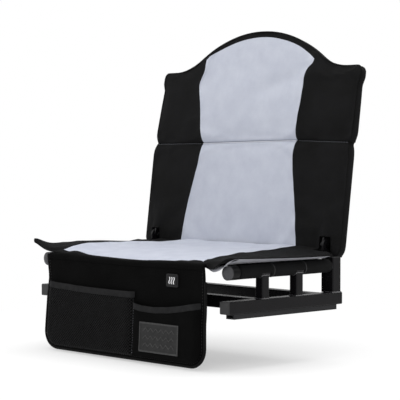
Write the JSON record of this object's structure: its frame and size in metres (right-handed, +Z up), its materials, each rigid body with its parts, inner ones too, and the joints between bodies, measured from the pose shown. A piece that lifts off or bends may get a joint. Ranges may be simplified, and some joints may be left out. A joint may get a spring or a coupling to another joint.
{
  "type": "heated stadium seat",
  "caption": "Folding padded bleacher seat with a welded base frame, reclined camel-top back, heat button and a hanging front flap with pockets.",
  "frame": {"origin": "on the bench top, midway between the two rails and midway along them; the foot strips stand on z = 0", "axes": "+X to the right in the picture across the seat, +Y to the backrest, +Z up; the sitter faces -Y"},
  "size_m": [0.609, 0.4359, 0.6896],
  "materials": {
    "powder_coat": "satin",
    "cap_plastic": "matte",
    "foot_rubber": "matte",
    "zinc_steel": "satin",
    "black_fabric": "matte",
    "grey_fabric": "matte",
    "lining_fabric": "matte",
    "binding_tape": "satin",
    "net_cloth": "matte",
    "band_elastic": "matte",
    "patch_rubber": "matte",
    "foam": "matte",
    "heater_cloth": "matte",
    "cable": "matte",
    "button_plastic": "matte",
    "mark_ink": "gloss"
  },
  "bodies": {
    "base": {"front_cross_bar": "powder_coat", "left_foot_strip": "foot_rubber", "left_front_post": "powder_coat", "left_hinge_plate": "powder_coat", "left_middle_post": "powder_coat", "left_rail": "powder_coat", "left_rear_post": "powder_coat", "left_seat_tube": "powder_coat", "left_tube_cap": "cap_plastic", "pivot_bolts": "zinc_steel", "pivot_nuts": "zinc_steel", "rail_end_caps": "cap_plastic", "rear_cross_bar": "powder_coat", "rear_post_plugs": "cap_plastic", "right_foot_strip": "foot_rubber", "right_front_post": "powder_coat", "right_hinge_plate": "powder_coat", "right_middle_post": "powder_coat", "right_rail": "powder_coat", "right_rear_post": "powder_coat", "right_seat_tube": "powder_coat", "right_tube_cap": "cap_plastic", "seat_border": "black_fabric", "seat_center_panel": "grey_fabric", "seat_foam": "foam", "seat_heater": "heater_cloth", "seat_lead": "cable", "seat_lining": "lining_fabric", "seat_sling": "black_fabric", "stop_pins": "powder_coat"},
    "back": {"back_hoop": "powder_coat", "crown_rod": "powder_coat", "lower_back_bar": "powder_coat", "middle_back_bar": "powder_coat", "left_hinge_lug": "powder_coat", "right_hinge_lug": "powder_coat", "lower_back_cover": "black_fabric", "upper_back_cover": "black_fabric", "lower_back_panel": "grey_fabric", "upper_back_panel": "grey_fabric", "lower_back_foam": "foam", "upper_back_foam": "foam", "back_heater": "heater_cloth", "back_lead": "cable", "back_rear_cover": "black_fabric"},
    "flap": {"flap_panel": "black_fabric", "flap_binding": "binding_tape", "mesh_pocket": "net_cloth", "mesh_pocket_gusset": "black_fabric", "mesh_pocket_band": "band_elastic", "cloth_pocket": "black_fabric", "cloth_pocket_gusset": "black_fabric", "cloth_pocket_band": "band_elastic", "pocket_patch": "patch_rubber", "control_box": "button_plastic", "button_frame": "button_plastic", "flap_lead": "cable"},
    "button": {"button_cap": "button_plastic", "heat_mark": "mark_ink"}
  },
  "joints": [
    {"name": "back_fold", "type": "hinge", "parent": "base", "child": "back", "pos_m": [0, 0.1485, 0.131], "axis": [1, 0, 0], "range_deg": [0, 96]},
    {"name": "flap_swing", "type": "hinge", "parent": "base", "child": "flap", "pos_m": [0, -0.179, 0.107], "axis": [1, 0, 0], "range_deg": [-85, 40]},
    {"name": "button_press", "type": "slide", "parent": "flap", "child": "button", "axis": [0, 1, 0], "range_m": [0, 0.0008], "stiffness_N_per_m": 600, "springref_m": -0.0005}
  ]
}
